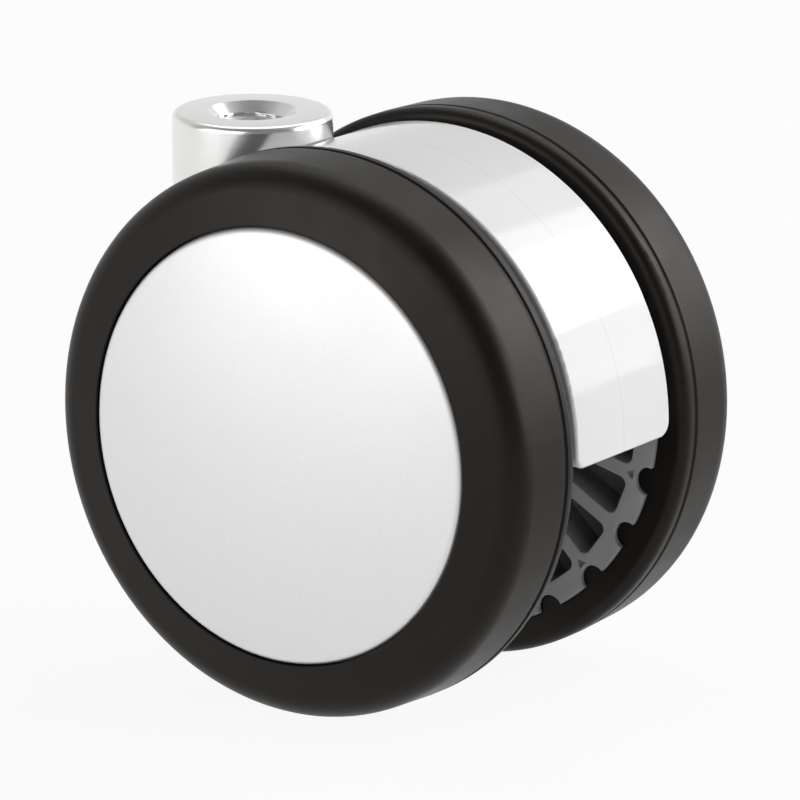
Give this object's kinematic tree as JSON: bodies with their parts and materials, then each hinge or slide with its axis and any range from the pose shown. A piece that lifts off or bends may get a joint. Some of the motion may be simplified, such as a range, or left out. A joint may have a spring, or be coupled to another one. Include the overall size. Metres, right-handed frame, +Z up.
{
  "type": "twin wheel swivel caster",
  "caption": "Twin wheel swivel caster with black solid tyres, pale domed hub caps, a glossy white hood between the wheels and a plated bush with a threaded hole.",
  "frame": {"origin": "centre of the swivel bush's top face, at the mouth of its threaded hole", "axes": "+Z up along the swivel axis, the axle along Y, and the wheels trailing towards +X"},
  "size_m": [0.075, 0.0596, 0.075],
  "materials": {
    "plated_steel": "bright nickel plating with fine turning marks",
    "bright_steel": "machined",
    "spring_steel": "blackened",
    "white_plastic": "glossy",
    "silver_white_plastic": "satin",
    "grey_plastic": "matt moulded",
    "natural_plastic": "matt moulded",
    "black_tyre": "satin"
  },
  "bodies": {
    "stem": {"swivel_bush": "plated_steel", "stem_washer": "bright_steel", "stem_retaining_ring": "spring_steel"},
    "housing": {"housing": "white_plastic", "thrust_washer": "natural_plastic", "upper_guide_bush": "natural_plastic", "lower_guide_bush": "natural_plastic", "axle": "bright_steel", "left_axle_spacer": "natural_plastic", "left_axle_washer": "bright_steel", "left_axle_retaining_ring": "spring_steel", "right_axle_spacer": "natural_plastic", "right_axle_washer": "bright_steel", "right_axle_retaining_ring": "spring_steel"},
    "left_wheel": {"left_wheel_core": "grey_plastic", "left_tyre": "black_tyre", "left_hub_cap": "silver_white_plastic", "left_wheel_bush": "natural_plastic"},
    "right_wheel": {"right_wheel_core": "grey_plastic", "right_tyre": "black_tyre", "right_hub_cap": "silver_white_plastic", "right_wheel_bush": "natural_plastic"}
  },
  "joints": [
    {"name": "swivel", "type": "hinge", "parent": "stem", "child": "housing", "pos_m": [0, 0, 0], "axis": [0, 0, 1], "continuous": true},
    {"name": "left_wheel_spin", "type": "hinge", "parent": "housing", "child": "left_wheel", "pos_m": [0.0233, 0, -0.0369], "axis": [0, 1, 0], "continuous": true},
    {"name": "right_wheel_spin", "type": "hinge", "parent": "housing", "child": "right_wheel", "pos_m": [0.0233, 0, -0.0369], "axis": [0, 1, 0], "continuous": true}
  ]
}
